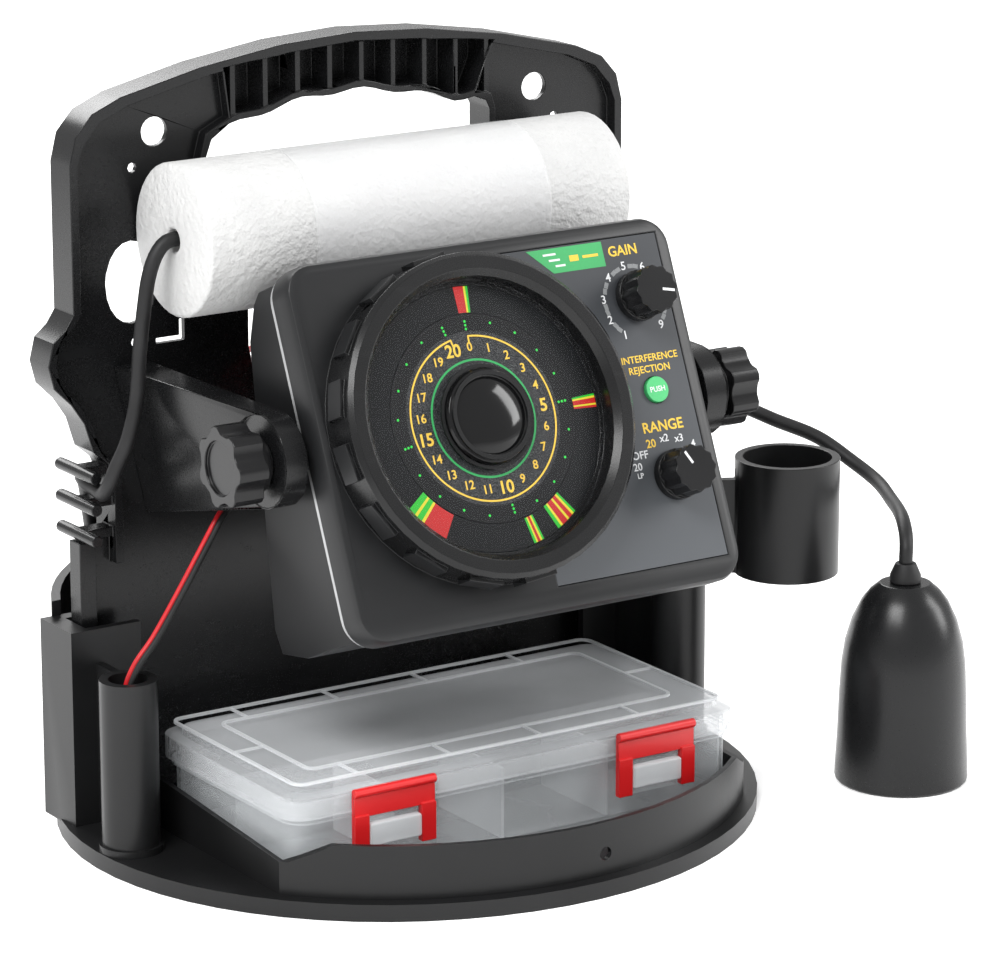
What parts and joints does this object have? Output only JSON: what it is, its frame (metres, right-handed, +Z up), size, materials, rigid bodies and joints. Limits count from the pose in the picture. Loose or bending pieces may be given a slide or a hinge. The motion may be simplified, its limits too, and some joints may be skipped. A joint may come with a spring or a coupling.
{
  "type": "fish finder",
  "caption": "Portable ice-fishing sonar flasher: tilting head on a round black carrying case with slide-in handle panel, foam float, transducer, battery and tackle box.",
  "frame": {"origin": "on the ground, under the middle of the object's outline without its cords", "axes": "+X to the object's right, along the width over case and transducer; +Y to the back, the head faces -Y; +Z up"},
  "size_m": [0.3994, 0.415, 0.34],
  "materials": {
    "black_plastic": "satin",
    "gloss_black": "satin",
    "head_grey": "satin",
    "rubber_black": "matte",
    "steel": "satin",
    "label_grey": "satin",
    "dial_grey": "satin",
    "clear_window": "gloss",
    "button_green": "satin",
    "circuit_board": "satin",
    "foam_white": "matte",
    "box_clear": "satin",
    "latch_red": "satin",
    "lead_red": "satin",
    "battery_black": "satin"
  },
  "bodies": {
    "carrier": {"carrier_base": "black_plastic", "carrier_panel": "gloss_black", "transducer_cup": "black_plastic", "gimbal_arm_left": "gloss_black", "gimbal_arm_right": "gloss_black", "gimbal_washer_left": "steel", "gimbal_washer_right": "steel", "friction_pad_left": "rubber_black", "friction_pad_right": "rubber_black", "foam_float": "foam_white", "transducer_body": "rubber_black", "transducer_boot": "rubber_black", "battery_case": "battery_black", "battery_cap": "battery_black", "battery_terminal_positive": "latch_red", "battery_terminal_negative": "battery_black", "transducer_cord_upper": "rubber_black", "transducer_cord_coil": "rubber_black", "transducer_cord_lower": "rubber_black", "power_lead_red": "lead_red", "power_lead_black": "rubber_black", "charge_lead_red": "lead_red", "charge_lead_black": "rubber_black"},
    "head": {"head_bezel": "head_grey", "head_gasket": "steel", "head_shell": "head_grey", "control_plate": "label_grey", "display_window": "clear_window", "dial_plate": "dial_grey", "centre_cap": "gloss_black", "rotor_motor": "steel", "main_board": "circuit_board", "gain_potentiometer": "steel", "range_switch": "steel", "button_switch": "battery_black", "transducer_socket": "steel", "power_socket": "steel", "transducer_plug": "rubber_black", "power_plug": "rubber_black"},
    "knob_left": {"gimbal_knob_left": "gloss_black", "gimbal_stud_left": "steel"},
    "knob_right": {"gimbal_knob_right": "gloss_black", "gimbal_stud_right": "steel"},
    "gain_shaft": {"gain_shaft": "steel"},
    "gain_knob": {"gain_knob": "rubber_black"},
    "range_knob": {"range_knob": "rubber_black", "range_shaft": "steel"},
    "push_button": {"push_button": "button_green"},
    "rotor": {"led_rotor": "dial_grey", "rotor_shaft": "steel"},
    "tackle_box": {"tackle_box_base": "box_clear", "tackle_box_pin_left": "steel", "tackle_box_pin_right": "steel", "divider_1": "box_clear", "divider_2": "box_clear", "divider_3": "box_clear"},
    "tackle_box_lid": {"tackle_box_lid": "box_clear"},
    "latch_left": {"tackle_box_latch_left": "latch_red"},
    "latch_right": {"tackle_box_latch_right": "latch_red"}
  },
  "joints": [
    {"name": "head_tilt", "type": "hinge", "parent": "carrier", "child": "head", "pos_m": [-0.03775, -0.0644, 0.187], "axis": [1, 0, 0], "range_deg": [-22, 20], "deforming": ["transducer_cord_upper", "power_lead_red", "power_lead_black"]},
    {"name": "knob_left_turn", "type": "hinge", "parent": "head", "child": "knob_left", "pos_m": [-0.15075, -0.0644, 0.187], "axis": [-1, 0, 0], "range_deg": [-360, 0]},
    {"name": "knob_right_turn", "type": "hinge", "parent": "head", "child": "knob_right", "pos_m": [0.07525, -0.0644, 0.187], "axis": [1, 0, 0], "range_deg": [-360, 0]},
    {"name": "gain_push", "type": "slide", "parent": "head", "child": "gain_shaft", "axis": [0, 0.9178, -0.3971], "range_m": [0, 0.0012], "stiffness_N_per_m": 800, "springref_m": -0.001},
    {"name": "gain_turn", "type": "hinge", "parent": "gain_shaft", "child": "gain_knob", "pos_m": [0.03325, -0.08491, 0.24033], "axis": [0, 0.9178, -0.3971], "range_deg": [0, 280]},
    {"name": "range_turn", "type": "hinge", "parent": "head", "child": "range_knob", "pos_m": [0.03325, -0.11588, 0.16875], "axis": [0, 0.9178, -0.3971], "range_deg": [0, 150]},
    {"name": "button_push", "type": "slide", "parent": "head", "child": "push_button", "axis": [0, 0.9178, -0.3971], "range_m": [0, 0.0012], "stiffness_N_per_m": 600, "springref_m": -0.001},
    {"name": "rotor_spin", "type": "hinge", "parent": "head", "child": "rotor", "pos_m": [-0.06095, -0.09049, 0.1972], "axis": [0, 0.9178, -0.3971], "continuous": true},
    {"name": "tackle_box_lift", "type": "slide", "parent": "carrier", "child": "tackle_box", "axis": [0, 0, 1], "range_m": [0, 0.012]},
    {"name": "lid_open", "type": "hinge", "parent": "tackle_box", "child": "tackle_box_lid", "pos_m": [-0.03775, 0.0243, 0.0365], "axis": [-1, 0, 0], "range_deg": [0, 16]},
    {"name": "latch_left_open", "type": "hinge", "parent": "tackle_box_lid", "child": "latch_left", "pos_m": [-0.10475, -0.0953, 0.0472], "axis": [-1, 0, 0], "range_deg": [0, 40]},
    {"name": "latch_right_open", "type": "hinge", "parent": "tackle_box_lid", "child": "latch_right", "pos_m": [0.02925, -0.0953, 0.0472], "axis": [-1, 0, 0], "range_deg": [0, 40]}
  ]
}
